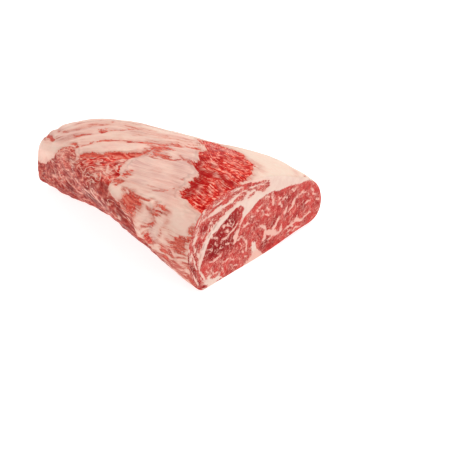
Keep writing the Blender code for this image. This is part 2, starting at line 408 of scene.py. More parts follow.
# Darker meat on the cut, as middle, half size and strength, and dark threads of meat; the thread in the hook is
# painted shadow in the gap inside it.
DARK_ON_THE_CUT = [
    (125, 53, 6, 0.8), (153, 32, 5, 0.7), (106, 37, 6, 0.6), (102, 30, 4, 0.6),
    (16, 36, 8, 0.5), (32, 40, 8, 0.5), (34, 68, 6, 0.5), (88, 12, 5, 0.9), (94, 15, 5, 0.8),
    (1, 71, 6, 0.9), (20, 74, 7, 0.3), (1, 4, 3, 1.0), (20.5, 0.5, 2.5, 1.0), (50, 66, 6, 0.5),
    (140, 40, 4, 0.5), (12, 46, 6, 0.4), (42, 60, 5, 0.4), (20, 56, 5, 0.4), (142, 28, 4, 0.4),
    (36, 11, 3, 0.3), (72, 40, 8, 0.3), (-14, 32, 5, 0.5), (-6, 54, 4, 0.4), (112, 26, 4, 0.4),
]
DARK_THREADS_AND_HOOK_SHADOW = [
    ([(79, 30), (82, 25), (85, 20)], 0.8, 1.0),
    ([(-19, 50), (-20, 42), (-17, 36), (-14, 30), (-11, 24), (-9, 15), (-6, 10)], 1.5, 0.8),
    ([(-5, 60), (-8, 52), (-12, 44)], 1.2, 0.6),
    ([(66, 63), (74, 68.5), (84, 71), (100, 71.5), (118, 68)], 0.9, 0.35),
]
GREY_POCKETS = [
    (1.0, 0.8, [(-1, 49), (1.5, 53)]), (0.9, 0.8, [(7, 59), (9.5, 62)]),
    (1.2, 0.8, [(14, 65), (17.5, 68.5)]), (0.8, 0.6, [(20.5, 70), (23, 71.5)]),
    (0.9, 0.7, [(-5.5, 40), (-4, 44)]),
]
# Torn streaks of meat in the fat of the lip: half width and line.
LIP_STREAKS = [
    (2.2, [(-3, 4.5), (2, 3.5), (4, 2)]), (2.3, [(-10, 5), (-4, 1)]), (1.6, [(19, 1), (23, 0)]),
    (1.9, [(-18, 42), (-15, 33), (-11, 22), (-7, 12), (-2, 6)]), (1.6, [(-5, 60), (-8, 52), (-12, 44)]),
    (1.0, [(-7, 24), (-4, 16), (0, 10)]), (0.8, [(28, 1), (40, 0)]),
]
PALE_LIP = [
    (1.0, [(-16, 48), (-13, 38), (-10, 30)]), (1.3, [(-20, 60), (-17, 50), (-17, 40)]),
    (0.9, [(-15, 26), (-11, 16), (-7, 8)]), (0.8, [(-12, 56), (-10, 50), (-9, 46)]),
    (1.2, [(-9, 74), (-10, 66), (-13, 60)]), (1.0, [(-4, 84), (-7, 76), (-8, 70)]),
    (0.7, [(2, 90), (-2, 84)]), (0.8, [(30, 93), (44, 95.5), (56, 95)]),
    (0.7, [(8, 88), (16, 91), (26, 92)]), (0.8, [(6, 66), (10, 72), (14, 76)]),
    (0.8, [(66, 90), (78, 88), (86, 85)]), (0.7, [(-2, 62), (2, 66)]),
]


def brushed(u, v, strokes, spread=0.0):
    """Soft brush strokes laid over one another; each is a half width, a strength, a line."""
    bare = np.ones(np.shape(u))
    for half, strength, line in strokes:
        gap = np.maximum(gap_to_line(u, v, line), 0) / (half + spread)
        bare *= 1 - strength * np.exp(-(gap**2))
    return 1 - bare


def spots(u, v, table):
    """Soft round marks summed up, each of a middle, a half size and a strength."""
    total = np.zeros(np.shape(u))
    for mid_u, mid_v, half, strength in table:
        total += strength * np.exp(-(((u - mid_u) ** 2 + (v - mid_v) ** 2) / half**2))
    return total


# The far cut shows the same muscles, a little smaller, as the roast tapers towards it.
near, loin, high = along_roast(LENGTH / 2 - x)[:3]
cut_y = -21.5 + (place[:, 1] + MIDDLE - near) / (loin - near) * CUT_WIDTH
cut_z = place[:, 2] / high * CUT_HEIGHT
cy, cz = cut_y[on_cut], cut_z[on_cut]
far_cut = box[on_cut, 0] < 0
cy = cy + np.where(far_cut, 5.0 * table_noise(cy / 45 + 7, cz / 40, 11), 0.0)
cz = cz + np.where(far_cut, 4.0 * table_noise(cy / 40, cz / 45 + 3, 12), 0.0)
rim_at = np.linspace(0, GIRTH, 500, endpoint=False)
rim = curve_round(CUT_SECTION, np.interp(rim_at, mm_round, count_round))
rim = rim * (CUT_WIDTH, CUT_HEIGHT) + (-21.5, 0.0)
gaps = np.hypot(cy[:, None] - rim[None, :, 0], cz[:, None] - rim[None, :, 1])
rim_s = rim_at[gaps.argmin(axis=1)]
rim_gap = gaps.min(axis=1)

# Nothing grows straight: every border is drawn through a slightly shaken page.
shake_y = 1.0 * table_noise(cy / 5, cz / 5, 51) + 0.7 * table_noise(cy / 2.4, cz / 2.4, 52)
shake_z = 1.0 * table_noise(cy / 5, cz / 5, 53) + 0.7 * table_noise(cy / 2.4, cz / 2.4, 54)
whole_lean = inside_outline(cy + 0.4 * shake_y, cz + 0.4 * shake_z, LEAN_OF_THE_CUT)
lean = whole_lean.copy()
for line, halves in FAT_LINES:
    halves = np.array(halves) * 1.05 + 0.3
    lean = np.minimum(lean, gap_to_line(cy + shake_y, cz + shake_z, line, halves))
in_cap = np.full(len(cy), -9.0)
for outline in CAP_MUSCLES:
    in_cap = np.maximum(in_cap, inside_outline(cy + 0.8 * shake_y, cz + 0.8 * shake_z, outline))
lean = np.maximum(lean, np.minimum(1.2 * in_cap + 0.35, 2.2))
for half, line in PALE_LIP:
    lean = np.minimum(lean, gap_to_line(cy + shake_y, cz + shake_z, line) - half)
lip = np.full(len(cy), -9.0)
for half, line in LIP_STREAKS:
    lip = np.maximum(lip, half - gap_to_line(cy + shake_y, cz + shake_z, line))
lean = np.maximum(lean, lip)
in_lip = np.clip((0 - cy) / 4, 0, 1) * np.clip((60 - cz) / 8, 0, 1)
stir = 0.45 + 0.6 * in_lip + 0.8 * (in_cap > -2)
# Dark threads darken the meat; the one in the hook is painted shadow in the gap there.
threads = np.zeros(len(cy))
for line, half, strength in DARK_THREADS_AND_HOOK_SHADOW:
    threads += strength * np.exp(-((np.maximum(gap_to_line(cy, cz, line), 0) / half) ** 2))
lean = np.maximum(lean, np.where(threads > 0.6, 0.8, -9))
over_eye = np.clip((52 - cy) / 8, 0, 1) * np.clip(whole_lean, 0, 1)
dark = spots(cy + shake_y, cz + shake_z, DARK_ON_THE_CUT) + threads
dark = dark + 0.60 * over_eye * np.clip((cz - 26) / 10, 0, 1) + 0.25 * in_lip
fleck = 0.5 + (0.08 - 0.32 * np.clip((cz - 26) / 8, 0, 1)) * over_eye - 0.15 * np.clip((cy - 75) / 20, 0, 1) * np.clip((14 - cz) / 8, 0, 1)
fleck = np.where(in_cap > -1, 0.6, fleck)
rosy = np.clip((whole_lean - 0.5) / 2, 0, 1) + 0.9 * np.clip((14 - cz) / 5, 0, 1) * (cy > 50)
rosy = np.clip(rosy + 0.5 * in_lip, 0, 1) * np.clip((86 - cz) / 4, 0, 1)
rosy = np.maximum(rosy, 0.45 * np.clip((in_cap + 4) / 3, 0, 1))
grey = brushed(cy, cz, GREY_POCKETS)
near_rim = (in_lip > 0.2) | (in_cap > -2)
cut_look = {
    "meat": (np.clip(lean, -4, 4), stir, fleck),
    "tone": (dark, 0 * dark, grey),
    "grain": (
        np.where(near_rim, 3.0 * rim_s, 1.5 * (cz + cy)),
        np.where(near_rim, 1.2 * rim_gap, cy - cz),
        np.where(far_cut, 90.0, 40.0),
    ),
    "fat": (0.35 + 0 * dark, rosy, 0 * dark),
    "web": (0 * dark, 0 * dark, 0 * dark),
}

# What the outside shows, drawn on the skin in the same mm as the creases.
sx, ss = x[~in_cut], round_s[~in_cut]
BARE_MUSCLE = [
    (142, 98), (125, 110), (118, 117), (112, 116), (106, 118), (103, 124), (100, 130),
    (97, 140), (92, 148), (86, 152), (80, 158), (72, 166), (68, 175), (62, 184), (57, 192),
    (50, 203), (40, 210), (20, 230), (-5, 255), (20, 258), (45, 246), (65, 236), (88, 222),
    (100, 213), (112, 208), (122, 193), (127, 185), (134, 168), (142, 156),
]
NEAR_SIDE = [
    (-150, 40), (-138, 60), (-130, 58), (-112, 62), (-98, 68), (-88, 76), (-82, 82),
    (-74, 95), (-62, 104), (-50, 100), (-40, 93), (-36, 100), (-20, 110), (-8, 120),
    (5, 128), (18, 141), (20, 140), (16, 128), (20, 118), (28, 110), (30, 100), (25, 92),
    (27, 88), (37, 85), (50, 82), (52, 76), (58, 72), (65, 70), (68, 62), (63, 45),
    (80, 38), (96, 24), (118, 12), (150, 6), (150, -70), (-150, -70),
]
# Patches of meat showing through the fat: middle, half sizes, turn, lean, dark, brown.
PATCHES = [
    (75, 35, 5, 9, 15, 2, 0.9, 0.8), (82, 54, 7, 6, 20, 2, 0.2, 0.2),
    (103, 41, 5, 3, 0, 1, 0.0, 0.2), (106, 48, 7, 5, -20, 1, 0.0, 0.2),
    (65, 88, 14, 12, -35, 1.3, 0.1, 0.1), (52, 99, 8, 2.5, -10, 1, 0.0, 0.3),
    (80, 97, 9, 1.6, 8, 1, 0.0, 0.2), (99, 85, 11, 3.0, 28, 1, 0.1, 0.3),
    (104, 89, 6, 2.4, 5, 1, 0.6, 0.4), (95, 73, 6, 3.0, 50, 1, 0.1, 0.2),
    (104, 95, 8, 1.6, -8, 1, 0.1, 0.2), (128, 66, 8, 11, -20, 1, 0.3, 0.5),
    (116, 50, 4, 4, 0, 1, 0.6, 0.6), (137, 32, 7, 3, 10, 1, 0.4, 0.6),
    (36, 104, 4, 7, -40, 1, 0.0, 0.2), (36, 116, 6, 4, 0, 1, 0.3, 0.1),
    (84, 110, 8, 2.2, 30, 0, 0.1, 0.3), (73, 113, 6, 0.9, 4, 1, 0.4, 0.4),
    (91, 133, 2.5, 1.2, -20, 1, 0.0, 0.0), (94, 118, 1.6, 1.0, 0, 1, 0.0, 0.0),
    (-52, 142, 4, 3.5, 0, 2, 0.5, 0.2), (24, 162, 12, 4.5, 25, 1, 0.1, 0.0),
    (42, 152, 12, 4.5, -20, 1, 0.2, 0.5), (30, 155, 10, 4.0, -25, 1, 0.2, 0.5),
    (20, 172, 15, 3.0, 42, 2, 0.1, 0.0), (30, 185, 6, 2.6, 42, 2, 0.0, 0.0), (46, 194, 8, 3.5, 20, 1, 0.5, 0.2),
    (57, 161, 10, 1.6, -30, 1, 0.7, 0.3), (71, 159, 9, 2.4, -18, 1, 0.6, 0.2),
    (20, 149, 5, 2.0, 0, 1, 0.9, 0.3), (34, 144, 8, 1.2, 6, 1, 0.9, 0.5),
    (134, 268, 5, 1.2, -60, 1, 0.2, 0.0), (138, 20, 2.6, 20, 0, 1, 0.2, 0.1),
    (138, 78, 3, 9, 0, 1, 0.0, 0.1), (122, 22, 6, 5, 30, 0, 0.1, 0.6),
]
# Brush strokes: half width, strength and line.  First the red threads in the grooves.
RED_THREADS = [
    (0.8, 0.6, [(-50, 112), (-44, 118), (-36, 130), (-28, 138), (-20, 144), (-12, 148)]),
    (2.0, 0.4, [(-12, 148), (-5, 153), (1, 159), (7, 164)]),
    (1.0, 0.7, [(-45, 149), (-40, 158), (-37, 170), (-32, 180)]), (0.7, 0.5, [(7, 164), (26, 186), (46, 200)]),
    (0.9, 0.8, [(-74, 118), (-68, 125), (-61, 132)]),
    (0.8, 0.9, [(-104, 123), (-95, 123)]), (0.6, 0.6, [(-126, 126), (-114, 122)]),
    (3.4, 0.1, [(-139, 110), (-125, 107), (-108, 102)]), (1.2, 0.7, [(-139, 101), (-128, 99)]),
    (3.0, 0.35, [(-37, 102), (-30, 110), (-15, 117), (-6, 125), (5, 130), (18, 140)]),
    (2.4, 0.6, [(-63, 107), (-55, 107)]), (1.2, 0.3, [(18, 141), (20, 148), (22, 156)]),
    (1.2, 0.8, [(40, 152), (52, 150), (60, 155)]), (1.0, 0.8, [(52, 163), (62, 158), (74, 158)]),
    (0.8, 0.3, [(36, 192), (48, 199)]), (0.7, 0.3, [(-70, 176), (-64, 168)]),
]
# Painted shade: dull pinkish shade painted into the hollows between the rolls and along the lower edge, where the
# creases lie in shade.
PAINTED_HOLLOW_SHADE = [
    (4.5, 0.75, [(-102, 108), (-85, 110), (-74, 118), (-62, 131)]),
    (5.0, 0.70, [(-130, 129), (-116, 123), (-98, 123), (-86, 130), (-72, 146)]),
    (6.0, 0.45, [(-84, 134), (-70, 150), (-60, 168), (-46, 190)]),
    (5.0, 0.65, [(-139, 101), (-122, 97), (-108, 100)]), (4.0, 0.5, [(-139, 118), (-124, 112)]),
    (3.5, 0.55, [(-54, 114), (-42, 122), (-32, 134), (-14, 147), (4, 160), (26, 186)]),
    (4.5, 0.50, [(-52, 142), (-42, 158), (-34, 178), (-28, 186)]),
    (1.4, 0.70, [(0, 163), (22, 190), (40, 206)]), (1.6, 0.65, [(-20, 162), (-5, 176), (15, 198), (32, 214)]),
    (1.4, 0.70, [(-28, 166), (-11, 182), (9, 204), (26, 222)]), (1.8, 0.45, [(-35, 172), (-17, 188), (3, 210), (18, 228)]),
    (2.0, 0.75, [(-66, 152), (-50, 166), (-36, 182), (-20, 196)]), (1.6, 0.70, [(-90, 128), (-76, 142), (-60, 158)]),
    (1.6, 0.60, [(-100, 140), (-84, 156), (-64, 176), (-44, 194)]),
    (5.0, 0.35, [(-30, 150), (-22, 166), (-12, 176)]), (5.0, 0.30, [(-14, 182), (-4, 196)]),
    (6.0, 0.50, [(0, 186), (8, 204), (16, 224)]), (4.0, 0.35, [(-120, 150), (-96, 168), (-70, 196)]),
    (5.0, 0.35, [(-100, 140), (-80, 158), (-58, 188), (-40, 214)]),
    (4.0, 0.45, [(20, 196), (34, 214)]), (3.0, 0.30, [(-90, 98), (-76, 106)]),
    (3.0, 0.50, [(54, 131), (62, 130)]), (2.5, 0.45, [(72, 134), (90, 128)]),
    (2.5, 0.45, [(76, 139), (86, 132)]), (3.0, 0.45, [(60, 106), (84, 112), (100, 110)]),
    (3.5, 0.35, [(40, 122), (70, 120), (96, 124)]), (4.0, 0.35, [(66, 144), (84, 140)]),
    (5.0, 0.55, [(40, 108), (54, 108)]), (4.0, 0.35, [(46, 150), (60, 148)]),
    (6.0, 0.40, [(44, 172), (52, 182)]), (4.0, 0.5, [(120, 75), (134, 56)]),
    (6.0, 0.35, [(118, 60), (134, 46)]), (4.0, 0.35, [(84, 60), (92, 74), (96, 82)]),
    (4.0, 0.35, [(66, 66), (76, 78)]), (5.0, 0.25, [(100, 112), (130, 100)]),
    (3.0, 0.35, [(124, 262), (136, 250)]), (7.0, 0.40, [(-60, 205), (-20, 226), (10, 268)]),
    (4.0, 0.4, [(126, 204), (116, 213), (104, 219)]), (3.0, 0.3, [(132, 185), (136, 172)]),
    (4.0, 0.5, [(104, 98), (112, 86)]), (3.0, 0.45, [(96, 118), (104, 122)]),
    (3.0, 0.4, [(60, 94), (74, 104)]), (2.0, 0.5, [(110, 80), (118, 72)]),
    (1.6, 0.9, [(76, 60), (92, 70), (98, 84), (94, 96)]), (1.4, 0.8, [(88, 50), (104, 62), (110, 76)]),
    (1.8, 0.9, [(70, 44), (82, 52), (92, 60)]), (1.6, 0.8, [(104, 26), (116, 38), (128, 54)]),
    (1.4, 0.8, [(116, 18), (126, 28), (136, 44)]), (1.8, 0.8, [(86, 90), (94, 84), (100, 76)]),
    (1.4, 0.7, [(66, 72), (76, 82), (80, 92)]), (2.0, 0.8, [(114, 66), (124, 58), (136, 56)]),
    (3.5, 0.5, [(-130, 214), (-96, 236), (-70, 262)]), (2.6, 0.5, [(-70, 262), (-40, 284), (-6, 296)]),
    (2.0, 0.5, [(40, 256), (66, 272), (98, 278)]), (5.0, 0.4, [(60, 318), (96, 326), (128, 322)]),
    (6.0, 0.45, [(-128, 310), (-90, 322), (-40, 330)]), (1.6, 0.5, [(98, 278), (118, 296)]),
]
DARK_SIDE = [
    (5.0, 0.7, [(-112, 60), (-104, 56), (-97, 55), (-90, 60)]), (3.5, 0.4, [(-92, 69), (-88, 75)]),
    (4.0, 0.7, [(-73, 25), (-70, 40)]), (4.0, 0.7, [(-56, 0), (-40, 8), (-28, 22)]),
    (4.0, 0.8, [(-45, 37), (-30, 48), (-18, 54), (4, 58), (24, 63)]),
    (4.0, 0.6, [(-72, 44), (-62, 53), (-50, 60)]), (3.0, 0.7, [(-44, 74), (-40, 88)]),
    (5.0, 0.4, [(-6, 76), (0, 88)]), (1.6, 0.6, [(-70, 60), (-52, 69), (-44, 74)]),
    (3.0, 0.5, [(-72, 68), (-66, 70)]), (3.0, 0.5, [(0, 15), (18, 30), (36, 44), (60, 53)]),
    (3.5, 0.4, [(18, 6), (34, 18), (56, 36)]), (3.5, 0.4, [(40, 0), (60, 12)]),
    (4.5, 0.5, [(44, 60), (48, 70)]), (5.0, 0.5, [(34, 74), (42, 78)]),
    (4.0, 0.7, [(95, 24), (99, 32)]), (3.0, 0.5, [(-30, 60), (-14, 68)]),
    (3.0, 0.5, [(-130, 34), (-126, 44)]), (3.0, 0.4, [(-118, 38), (-114, 46)]),
    (3.0, 0.5, [(-20, 84), (-8, 90)]), (2.0, 0.6, [(8, 88), (26, 90)]),
    (4.0, 0.4, [(-110, 2), (-98, 18)]), (2.2, 0.6, [(-58, 83), (-52, 86)]),
    (3.0, 0.4, [(-10, 106), (0, 98)]), (2.5, 0.6, [(18, 110), (24, 109)]),
    (3.0, 0.5, [(10, 122), (16, 126)]), (5.0, 0.3, [(-90, 10), (-82, 24), (-84, 36)]),
]
PALE_SIDE = [
    (1.6, 0.9, [(-112, 10), (-108, 22)]), (2.6, 0.9, [(-102, 47), (-90, 50)]),
    (1.8, 0.6, [(-62, 28), (-50, 42), (-38, 52), (-28, 58)]),
    (1.2, 0.7, [(-78, 51), (-62, 59), (-46, 66), (-38, 75)]),
    (1.1, 0.6, [(-46, 62), (-30, 70), (-18, 76)]), (1.6, 0.6, [(-28, 0), (-12, 18), (2, 36)]),
    (1.2, 0.6, [(-22, 61), (-6, 66), (6, 70), (22, 73)]), (1.8, 0.6, [(-42, 95), (-20, 98)]),
    (5.0, 0.5, [(-68, 86), (-62, 95)]), (3.5, 0.5, [(-46, 88), (-44, 104)]),
    (1.2, 0.5, [(0, 50), (14, 58), (30, 66)]), (1.4, 0.5, [(-84, 58), (-70, 66)]),
    (1.2, 0.5, [(-10, 4), (8, 22), (26, 40)]), (1.2, 0.4, [(14, 0), (36, 20), (56, 40)]),
    (4.0, 0.9, [(-1, 100), (12, 101)]), (1.6, 0.5, [(-10, 94), (8, 93)]),
    (2.2, 0.5, [(-14, 106), (10, 108), (24, 104)]),
    (1.2, 0.5, [(-12, 112), (8, 116), (18, 114)]), (1.4, 0.4, [(0, 124), (16, 121)]),
    (1.2, 0.4, [(-96, 30), (-84, 44), (-78, 52)]), (2.0, 0.4, [(-80, 76), (-70, 82)]),
    (1.5, 0.5, [(10, 78), (12, 88)]), (1.3, 0.4, [(-120, 24), (-110, 44), (-100, 54)]),
]
DEEP_RED = [
    (4.5, 1.0, [(112, 121), (106, 126), (103, 134)]), (4.5, 1.0, [(103, 134), (98, 144), (92, 152)]),
    (4.0, 0.9, [(90, 155), (78, 164), (73, 174), (70, 180)]), (5.0, 0.5, [(62, 190), (54, 208)]),
    (4.0, 0.9, [(100, 158), (116, 157), (130, 155)]), (3.5, 0.8, [(88, 172), (93, 170)]),
    (4.0, 0.5, [(78, 204), (84, 196)]), (2.5, 0.8, [(131, 170), (135, 168)]),
    (3.5, 0.6, [(124, 148), (129, 146)]), (4.0, 0.6, [(106, 130), (120, 132)]),
    (4.0, 0.6, [(110, 144), (100, 150)]), (3.0, 0.6, [(64, 214), (56, 220)]),
    (3.0, 0.4, [(90, 182), (84, 186)]), (3.0, 0.4, [(106, 203), (92, 207)]),
]
# Small folds and nicks in the fat: half width, depth and line.
FOLDS = [
    (1.8, 1.3, [(78, 57), (88, 63), (95, 73), (95, 84), (89, 92)]), (1.3, 0.8, [(90, 56), (102, 66), (106, 80)]),
    (1.2, 0.8, [(108, 34), (120, 46), (130, 62)]), (1.2, 0.8, [(84, 70), (92, 84), (96, 100)]),
    (1.6, 0.7, [(84, 99), (98, 93), (110, 88)]), (2.0, 0.8, [(50, 77), (57, 86), (60, 98)]),
    (1.6, 0.7, [(98, 60), (110, 55), (124, 58)]), (2.0, 0.5, [(112, 108), (124, 97), (137, 92)]),
    (2.0, 0.8, [(24, 93), (34, 98), (40, 108)]), (1.6, 0.6, [(64, 117), (84, 122), (98, 129)]),
    (1.5, 0.5, [(28, 119), (50, 126), (70, 141)]), (1.6, 0.6, [(70, 30), (84, 44), (92, 56)]),
    (1.8, 0.6, [(100, 20), (114, 34), (122, 50)]), (1.5, 0.5, [(118, 14), (130, 26)]),
    (1.8, 0.6, [(56, 62), (66, 76), (70, 84)]), (1.6, 0.6, [(-80, 92), (-66, 108), (-56, 116)]),
    (1.6, 0.5, [(-30, 122), (-12, 132), (8, 142)]), (1.6, 0.5, [(-20, 138), (0, 146), (14, 154)]),
    (1.8, 0.6, [(-66, 150), (-52, 168), (-44, 186)]), (1.3, 0.7, [(-20, 162), (-5, 176), (15, 198), (32, 214)]),
    (1.3, 0.6, [(-28, 166), (-11, 182), (9, 204), (26, 222)]), (1.3, 0.7, [(0, 163), (22, 190), (40, 206)]),
    (1.6, 0.8, [(-66, 152), (-50, 166), (-36, 182), (-20, 196)]), (1.4, 0.7, [(-90, 128), (-76, 142), (-60, 158)]), (1.8, 0.5, [(-108, 132), (-92, 146)]),
    (1.8, 0.5, [(-20, 160), (-4, 176), (10, 196)]), (2.0, 0.5, [(44, 160), (54, 172), (58, 184)]),
]
PALE_FIBRES = [
    (2.4, 0.9, [(86, 178), (90, 175)]), (1.8, 0.9, [(104, 158), (110, 156)]),
    (1.5, 0.9, [(112, 164), (119, 162)]), (1.0, 0.7, [(104, 173), (112, 169), (122, 167)]),
    (1.2, 0.8, [(88, 192), (102, 190), (120, 189)]), (1.1, 0.7, [(106, 180), (124, 178)]),
    (1.0, 0.6, [(84, 200), (94, 196), (110, 195)]), (2.2, 0.5, [(44, 240), (60, 222), (78, 214)]),
    (2.4, 0.5, [(56, 232), (70, 220), (86, 214)]), (1.6, 0.5, [(30, 238), (44, 222), (56, 214)]),
    (1.6, 0.6, [(80, 170), (84, 162)]), (1.2, 0.6, [(76, 186), (82, 176)]),
    (1.0, 0.6, [(72, 198), (78, 190)]), (1.0, 0.6, [(116, 150), (128, 140)]),
    (1.0, 0.6, [(118, 138), (132, 127)]), (1.0, 0.6, [(122, 128), (134, 117)]),
    (1.4, 0.6, [(110, 136), (118, 124)]), (1.0, 0.5, [(128, 160), (138, 150)]),
    (1.2, 0.5, [(96, 214), (104, 205)]), (1.0, 0.5, [(16, 250), (32, 236)]),
    (1.6, 0.5, [(132, 140), (139, 133)]), (1.4, 0.5, [(134, 165), (139, 160)]),
]


def grain_of_side(x, s):
    """Where a point lies across the streaks of the near side, which climb towards the cut."""
    climb = 0.42 * np.minimum(x, 40) + 0.02 * np.maximum(x - 40, 0)
    swing = (7 + 8 * np.clip((x - 40) / 30, 0, 1)) * table_noise(x / 34, s / 26, 28)
    return 0.9 * s - climb + swing + 2 * table_noise(x / 9, s / 9, 29)


def grain_of_strip(x, s):
    """Where a point lies across the fibres of the bare muscle, which fan out from the rim."""
    lean_over = np.clip((x - 55) / 60, 0, 1)
    return 0.75 * s + 0.75 * x - 0.5 * lean_over * (x - 55)


side_s = np.where(ss > 400, ss - GIRTH, ss)
wave_x = 1.8 * table_noise(sx / 10, side_s / 10, 61) + 1.2 * table_noise(sx / 4.5, side_s / 4.5, 62)
wave_s = 1.8 * table_noise(sx / 10, side_s / 10, 63) + 1.2 * table_noise(sx / 4.5, side_s / 4.5, 64)
px, ps = sx + wave_x, side_s + wave_s

strip = inside_outline(sx, ss, BARE_MUSCLE)
strip_across = grain_of_strip(sx, ss)
strip = strip + 3.0 * table_noise(strip_across / 2.2, (sx - ss) / 30, 21)
strip = strip + 2.0 * table_noise(strip_across / 5.5, (sx - ss) / 22, 22)
side_across = grain_of_side(sx, side_s)
side = inside_outline(px, ps, NEAR_SIDE)
side = side + 0.8 * table_noise(side_across / 3.0, (sx + side_s) / 14, 23)
side_streak = 0.7 * table_noise(side_across / 3.5, (sx + side_s) / 16, 24)
side_streak = side_streak + 0.6 * table_noise(side_across / 1.9, (sx + side_s) / 9, 25)
pale_side = brushed(px, ps, PALE_SIDE)
side_lean = np.clip(1.6 * side + 0.6 * side_streak, -9, 4.5)
edge_lean = np.clip((15 - side_s) / 5, -3, 1.6) + 1.3 * side_streak - 0.4
side_lean = np.where((sx > 45) & (side_s > -1), np.maximum(side_lean, edge_lean), side_lean)
low_right = np.clip((sx - 50) / 40, 0, 1) * np.clip((62 - side_s) / 30, 0, 1) * (side_s > -1)
low_right = low_right * np.clip(0.6 + 0.9 * side_streak, 0, 1)
brown = np.clip((side + 3) / 4, 0, 1) * np.clip((106 - side_s) / 26, 0.1, 1)
bright_patch = np.clip(1.4 - np.hypot((px + 60) / 24, (ps - 84) / 17), 0, 1)
bright_patch = bright_patch * np.clip(0.7 + 0.7 * table_noise(px / 9, ps / 6, 65), 0, 1)
pale_side = pale_side + 0.45 * bright_patch * (side > 0)
brown = brown * (1 - 0.85 * bright_patch) * (1 - 0.6 * np.exp(-(((side_s - 104) / 5) ** 2)))
brown = np.maximum(brown, 0.8 * (edge_lean > -1) * (sx > 45) * (side_s > -1))
brown = brown * (1 - 0.5 * np.clip(1.2 - np.hypot((px - 2) / 30, (ps - 106) / 14), 0, 1))
web = np.clip((side + 1) / 3, 0, 1) * (0.45 + 0.4 * np.clip((side_s - 40) / 30, 0, 1))
outer_lean = np.maximum(np.minimum(strip, 4.0), side_lean)
outer_stir = np.where(strip > -2, 0.9, 0.9)
outer_dark = brushed(px, ps, DARK_SIDE, 1.0) * (side > -2)
outer_dark = outer_dark + 0.7 * np.clip(table_noise(px / 13, ps / 8, 66), 0, 1) * (side > 0)
outer_dark = outer_dark + brushed(px, ss + wave_s, DEEP_RED, 1.0) * (strip > -2)
pale = pale_side * (side > -2) + brushed(px, ss + wave_s, PALE_FIBRES) * (strip > -2)
pale = pale + 0.25 * np.clip((side_s - 70) / 20, 0, 1) * (side > -2) * (side_streak > 0.2)
salmon = np.clip((sx - 40) / 30, 0, 1) * np.clip((84 - side_s) / 30, 0, 1) * (side_s > -1)
low_band = np.clip((sx - 30) / 20, 0, 1) * np.exp(-((np.maximum(side_s, 0) / 20) ** 2)) * (side_s > -1)
salmon = np.maximum(salmon, 0.9 * low_band)
salmon = 0.7 * salmon * np.clip(0.5 + 1.1 * table_noise(side_across / 6, (sx + side_s) / 22, 70), 0, 1)
soft_patch = 0 * sx
for mid_x, mid_s, half_x, half_s, turn, lean_mm, dark_mark, brown_mark in PATCHES:
    c, w = np.cos(np.radians(turn)), np.sin(np.radians(turn))
    du, dv = px - mid_x, ps - mid_s
    reach = np.hypot((c * du + w * dv) / half_x, (c * dv - w * du) / half_s)
    patch = (1 - reach) * (0.8 + 0.3 * min(half_x, half_s))
    here = np.clip(1.4 - reach, 0, 1)
    soft_patch = np.maximum(soft_patch, here * (0.60 if lean_mm < 2 else 0.2) * (1 - 0.5 * dark_mark))
    outer_lean = np.maximum(
        outer_lean, np.minimum(patch - 1.2 + 0.6 * lean_mm + 1.8 * side_streak, 1.2 * lean_mm - 0.5)
    )
    outer_stir = np.where((here > 0.2) & (side < -2) & (strip < -2), 0.9, outer_stir)
    outer_dark = np.maximum(outer_dark, dark_mark * here)
    brown = np.maximum(brown, brown_mark * np.clip(here * 2, 0, 1))
    salmon = np.maximum(salmon, (1.15 + 0.1 * lean_mm) * np.clip(1.3 * (1.5 - reach), 0, 1))
for half, mark, line in RED_THREADS:
    gap = gap_to_line(px, ps, line)
    outer_lean = np.maximum(outer_lean, half - gap + 0.9 * table_noise(sx / 4, ss / 4, 27) - 0.2)
    outer_dark = np.maximum(outer_dark, mark * np.exp(-((gap / (half + 1)) ** 2)))
    soft_patch = np.maximum(soft_patch, 0.55 * np.exp(-((gap / (half + 1)) ** 2)))
    salmon = np.maximum(salmon, 1.0 * np.exp(-((gap / (half + 2.4)) ** 2)))
# The wash: painted shade from the hollows, together with the pink of meat showing through thin fat.
hollow_shade_and_meat_tint = np.maximum(brushed(px, ps, PAINTED_HOLLOW_SHADE, 1.0), salmon * (0.85 + 0.3 * side_streak))
hollow_shade_and_meat_tint = hollow_shade_and_meat_tint + 1.0 * low_right + 0.45 * np.exp(-((np.minimum(side, 0) / 4) ** 2)) * (side < 1)
hollow_shade_and_meat_tint = hollow_shade_and_meat_tint + 0.5 * np.exp(-(((np.minimum(strip, 0)) / 4) ** 2))

# Underneath, the rib bones came away in strips: bare meat between bands of pale skin.
under = np.clip((ss - 332) / 8, 0, 1) * np.clip((GIRTH - 2 - ss) / 8, 0, 1)
uy = place[~in_cut, 1] + MIDDLE
band = np.cos((sx + 0.12 * uy + 4 * table_noise(sx / 30, uy / 30, 31)) * 2 * np.pi / 37)
under_lean = 1.6 * band + 0.9 + 1.4 * table_noise(uy / 14, sx / 3.0, 32)
under_lean = np.where(uy < 22, 0.5 + 2 * side_streak, under_lean)
outer_lean = outer_lean * (1 - under) + under_lean * under
outer_lean = np.where(ss > 300, np.maximum(outer_lean, -4), outer_lean)
brown = brown * (1 - under) + 0.35 * under

centre_fat = inside_outline(
    sx, ss, [(20, 108), (60, 104), (100, 106), (104, 118), (95, 145), (60, 190), (40, 196),
             (16, 160), (20, 130)]
)
veil_and_painted_shade = np.clip(centre_fat / 12 + 0.5, 0, 1) * (0.75 + 0.5 * table_noise(px / 14, ps / 7, 67))
# The grey spot at (95, 64) is painted shade in the fold there.
veil_and_painted_shade = np.maximum(veil_and_painted_shade, np.exp(-(((sx - 95) / 7) ** 2 + ((ss - 64) / 11) ** 2)) * 0.8)
